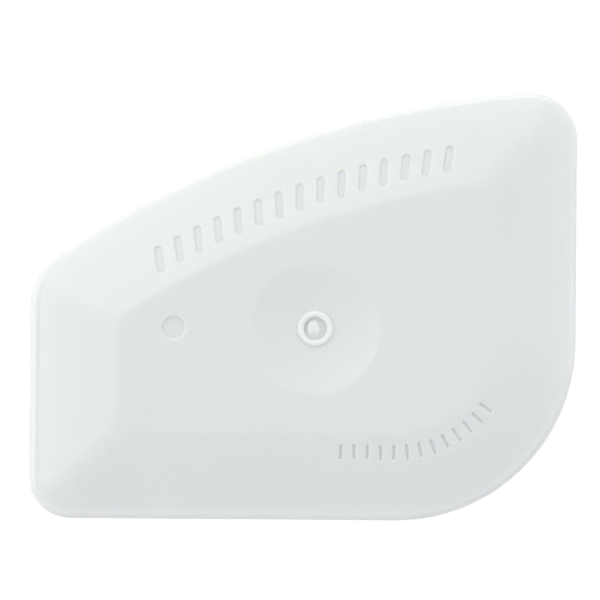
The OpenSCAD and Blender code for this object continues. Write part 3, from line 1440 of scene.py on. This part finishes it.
@dataclass(frozen=True)
class MilkyPlastic:
    """Satin, slightly see-through white plastic, straight from the mould.

    The depth that light reaches and the bumps' height are in metres.
    """

    name: str = "milky_plastic"
    colour: Colour = (0.752, 0.778, 0.78)
    # Painted glow: where the plastic is thin, the colour turns toward the paler colour below, standing
    # in for light shining through it; the next two numbers give the thickness where it is full and how
    # fast it fades above that
    thin_glow_colour: Colour = (0.85, 0.885, 0.868)
    glow_full_below: float = 1.16
    fade: float = 0.09
    cloud_scale: float = 55.0
    cloud_detail: float = 3.0
    cloud_from: float = 0.3
    cloud_to: float = 0.7
    cloud_tint: float = 0.006
    roughness: float = 0.34
    roughness_spread: float = 0.03
    ior: float = 1.48
    subsurface: float = 0.85
    depth: float = 0.002
    colour_depth: Colour = (1.0, 1.0, 0.75)
    grain_scale: float = 5200.0
    bump: float = 0.12
    bump_height: float = 0.00001
    scratches: tuple[Scratches, ...] = (Scratches(24.0, 130.0, 0.68), Scratches(-57.0, 180.0, 0.7))
    edge_wear: float = 0.35
    worn_below: float = 1.2
    fresh_above: float = 2.2
    scuff_roughness: float = 0.12
    scuff_depth: float = 0.5

    def material(self, grain: bpy.types.ShaderNodeTree) -> bpy.types.Material:
        """Builds the material.

        Args:
            grain: The group of the fine grain.

        Returns:
            The material.
        """
        material, sheet = new_material(self.name)
        place = sheet.object_place()
        thickness = sheet.add("ShaderNodeAttribute", attribute_name=GLOW_AND_WEAR_THICKNESS).outputs["Fac"]
        scuffs = self.scuffs(sheet, place, thickness)
        inputs = {"Vector": place, "Scale": self.grain_scale}
        fine = sheet.add("ShaderNodeGroup", inputs, node_tree=grain)
        smooth, dull = self.roughness - self.roughness_spread, self.roughness + self.roughness_spread
        rough = sheet.span(fine.outputs["Mask"], 0.0, 1.0, smooth, dull)
        rough = sheet.maths("ADD", rough, sheet.maths("MULTIPLY", scuffs, self.scuff_roughness))
        sunk = sheet.maths("MULTIPLY", scuffs, self.scuff_depth)
        height = sheet.maths("SUBTRACT", fine.outputs["Height"], sunk)
        relief = {"Height": height, "Strength": self.bump, "Distance": self.bump_height}
        looks = {
            "Base Color": self.tint_with_painted_glow(sheet, place, thickness),
            "Roughness": rough,
            "Normal": sheet.add("ShaderNodeBump", relief).outputs["Normal"],
            "IOR": self.ior,
            "Subsurface Weight": self.subsurface,
            "Subsurface Radius": self.colour_depth,
            "Subsurface Scale": self.depth,
        }
        shader = sheet.add("ShaderNodeBsdfPrincipled", looks, subsurface_method="RANDOM_WALK")
        sheet.add("ShaderNodeOutputMaterial", {"Surface": shader.outputs["BSDF"]})
        return material

    def scuffs(self, sheet: NodeSheet, place: Socket, thickness: Socket) -> Socket:
        """How worn the surface is: it has scratches, and the thin edge is duller.

        Args:
            sheet: The material's nodes.
            place: Where on the object the point is.
            thickness: How thick the plate is there.

        Returns:
            The wear, from 0 to 1.
        """
        wear = sheet.span(thickness, self.worn_below, self.fresh_above, self.edge_wear, 0.0)
        for scratches in self.scratches:
            wear = sheet.maths("MAXIMUM", wear, scratches.mask(sheet, place))
        return wear

    def tint_with_painted_glow(self, sheet: NodeSheet, place: Socket, thickness: Socket) -> Socket:
        """The base colour with the faint clouds that the melt leaves, and a painted glow: paler where
        it is thin, standing in for light that shines through thin plastic.

        Args:
            sheet: The material's nodes.
            place: Where on the object the point is.
            thickness: How thick the plate is there.

        Returns:
            The colour.
        """
        inputs = {"Vector": place, "Scale": self.cloud_scale, "Detail": self.cloud_detail}
        clouds = sheet.add("ShaderNodeTexNoise", inputs).outputs["Fac"]
        share = sheet.span(clouds, self.cloud_from, self.cloud_to, 0.0, 1.0)
        dark = tuple(c * (1 - self.cloud_tint) for c in self.colour)
        light = tuple(c * (1 + self.cloud_tint) for c in self.colour)
        # Painted glow: the colour goes paler where the plate is thin, standing in for light shining
        # through it
        beyond = sheet.maths("SUBTRACT", thickness, self.glow_full_below)
        thin = sheet.maths("POWER", self.fade, beyond, clamp=True)
        return sheet.blend(thin, sheet.blend(share, dark, light), self.thin_glow_colour)


@dataclass(frozen=True)
class WhiteTable:
    """The plain white table, which shows as clean white but keeps the object's shadow."""

    name: str = "white_table"
    colour: Colour = (0.72, 0.72, 0.72)
    lift: float = 0.52
    grain_scale: float = 900.0
    smooth: float = 0.85
    dull: float = 0.95

    def material(self, grain: bpy.types.ShaderNodeTree) -> bpy.types.Material:
        """Builds the material.

        Args:
            grain: The group of the fine grain.

        Returns:
            The material.
        """
        material, sheet = new_material(self.name)
        inputs = {"Vector": sheet.object_place(), "Scale": self.grain_scale}
        fine = sheet.add("ShaderNodeGroup", inputs, node_tree=grain)
        looks = {
            "Base Color": (*self.colour, 1.0),
            "Specular IOR Level": 0.0,
            "Roughness": sheet.span(fine.outputs["Mask"], 0.0, 1.0, self.smooth, self.dull),
        }
        shader = sheet.add("ShaderNodeBsdfPrincipled", looks)
        ray = sheet.add("ShaderNodeLightPath").outputs
        seen = sheet.maths("ADD", ray["Is Camera Ray"], ray["Is Glossy Ray"], clamp=True)
        seen = sheet.maths("ADD", seen, ray["Is Transmission Ray"], clamp=True)
        strength = sheet.maths("MULTIPLY", seen, self.lift)
        glow = sheet.add("ShaderNodeEmission", {"Strength": strength})
        both = {0: shader.outputs["BSDF"], 1: glow.outputs["Emission"]}
        surface = sheet.add("ShaderNodeAddShader", both).outputs["Shader"]
        sheet.add("ShaderNodeOutputMaterial", {"Surface": surface})
        return material


@dataclass(frozen=True)
class SoftBox:
    """A square lamp that looks at the object from a bearing and a height.

    The angles are in degrees, and its size and distance in metres.
    """

    name: str
    bearing: float
    elevation: float
    size: float
    watts: float
    colour: Colour = WHITE
    distance: float = 1.5

    def build(self) -> None:
        """Places the lamp."""
        lamp = bpy.data.lights.new(self.name, "AREA")
        lamp.size = self.size
        lamp.energy = self.watts
        lamp.color = self.colour
        obj = bpy.data.objects.new(self.name, lamp)
        a, e = math.radians(self.bearing), math.radians(self.elevation)
        way = Vector((math.cos(a) * math.cos(e), math.sin(a) * math.cos(e), math.sin(e)))
        obj.location = way * self.distance
        obj.rotation_euler = way.to_track_quat("Z", "Y").to_euler()
        bpy.context.scene.collection.objects.link(obj)


@dataclass(frozen=True)
class Studio:
    """The table, the lamps, the pale surroundings and the camera over the object.

    The table's size and the camera's clipping are in metres.
    """

    table_size: float = 3.0
    table_drop: float = 0.02
    surround: float = 0.648
    overhead: float = 0.024
    horizon_from: float = 0.066
    horizon_to: float = 0.1
    overhead_from: float = 0.88
    overhead_to: float = 0.96
    view_width: float = 90.7
    view_middle: tuple[float, float] = (-0.45, 0.79)
    view_turn: float = 0.44
    camera_height: float = 700.0
    clip: tuple[float, float] = (0.01, 20.0)
    sensor: float = 36.0
    lamps: tuple[SoftBox, ...] = (
        SoftBox("key_softbox", 140.0, 58.0, 0.9, 4.0, WARM),
        SoftBox("left_softbox", 180.0, 35.0, 0.5, 5.7, WARM),
        SoftBox("rear_softbox", 84.0, 33.0, 0.5, 4.9, WARM),
        SoftBox("right_softbox", 2.0, 38.0, 0.3, 3.5),
    )

    def build(self, table: bpy.types.Material) -> None:
        """Builds all that stands round the object.

        Args:
            table: The table's material.
        """
        self.build_table(table)
        self.build_surround()
        for lamp in self.lamps:
            lamp.build()
        self.build_camera()
        bpy.context.scene.view_settings.view_transform = "Standard"

    def build_table(self, material: bpy.types.Material) -> None:
        """Builds the table top, just under the object's back.

        Args:
            material: The table's material.
        """
        half, drop = self.table_size / 2, self.table_drop * MM
        sides = ((-half, -half), (half, -half), (half, half), (-half, half))
        mesh = bpy.data.meshes.new("table")
        mesh.from_pydata([(x, y, -drop) for x, y in sides], [], [(0, 1, 2, 3)])
        mesh.materials.append(material)
        table = bpy.data.objects.new("table", mesh)
        bpy.context.scene.collection.objects.link(table)

    def build_surround(self) -> None:
        """Makes an even pale surround, white at the horizon and dim right overhead."""
        world = bpy.data.worlds.new("pale_surround")
        bpy.context.scene.world = world
        world.use_nodes = True
        sheet = NodeSheet(world.node_tree)
        way = sheet.add("ShaderNodeTexCoord").outputs["Generated"]
        rise = sheet.add("ShaderNodeSeparateXYZ", {"Vector": way}).outputs["Z"]
        dimmed = self.overhead / self.surround
        low = sheet.span(rise, self.horizon_from, self.horizon_to, 1.0, self.surround)
        high = sheet.span(rise, self.overhead_from, self.overhead_to, 1.0, dimmed)
        inputs = {"Color": (*WHITE, 1.0), "Strength": sheet.maths("MULTIPLY", low, high)}
        background = sheet.add("ShaderNodeBackground", inputs).outputs["Background"]
        sheet.add("ShaderNodeOutputWorld", {"Surface": background})

    def build_camera(self) -> None:
        """Places the camera, straight over the plate."""
        data = bpy.data.cameras.new("camera")
        data.sensor_width = self.sensor
        data.lens = self.sensor * self.camera_height / self.view_width
        data.clip_start, data.clip_end = self.clip
        camera = bpy.data.objects.new("camera", data)
        x, y = self.view_middle
        camera.location = (x * MM, y * MM, self.camera_height * MM)
        camera.rotation_euler = (0.0, 0.0, math.radians(self.view_turn))
        bpy.context.scene.collection.objects.link(camera)
        bpy.context.scene.camera = camera


def main() -> None:
    """Builds the scraper and the studio round it."""
    logging.basicConfig(level=logging.INFO, format="%(message)s")
    low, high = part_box("scraper")
    width, height = (2 * (-side / MM - HAIR) for side in low[:2])
    thickness = (high[2] - low[2]) / MM
    grain = FineGrain().group()
    plate = ScraperPlate(
        PlateOutline(width, height),
        EdgeSection(thickness),
        ThumbDish(thickness),
        PinMark(thickness),
    )
    piece = plate.build()
    piece.data.materials.append(MilkyPlastic().material(grain))
    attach(piece, "root")
    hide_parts("scraper")
    log.info("%s: %d faces", piece.name, len(piece.data.polygons))
    Studio().build(WhiteTable().material(grain))


if __name__ == "__main__":
    main()
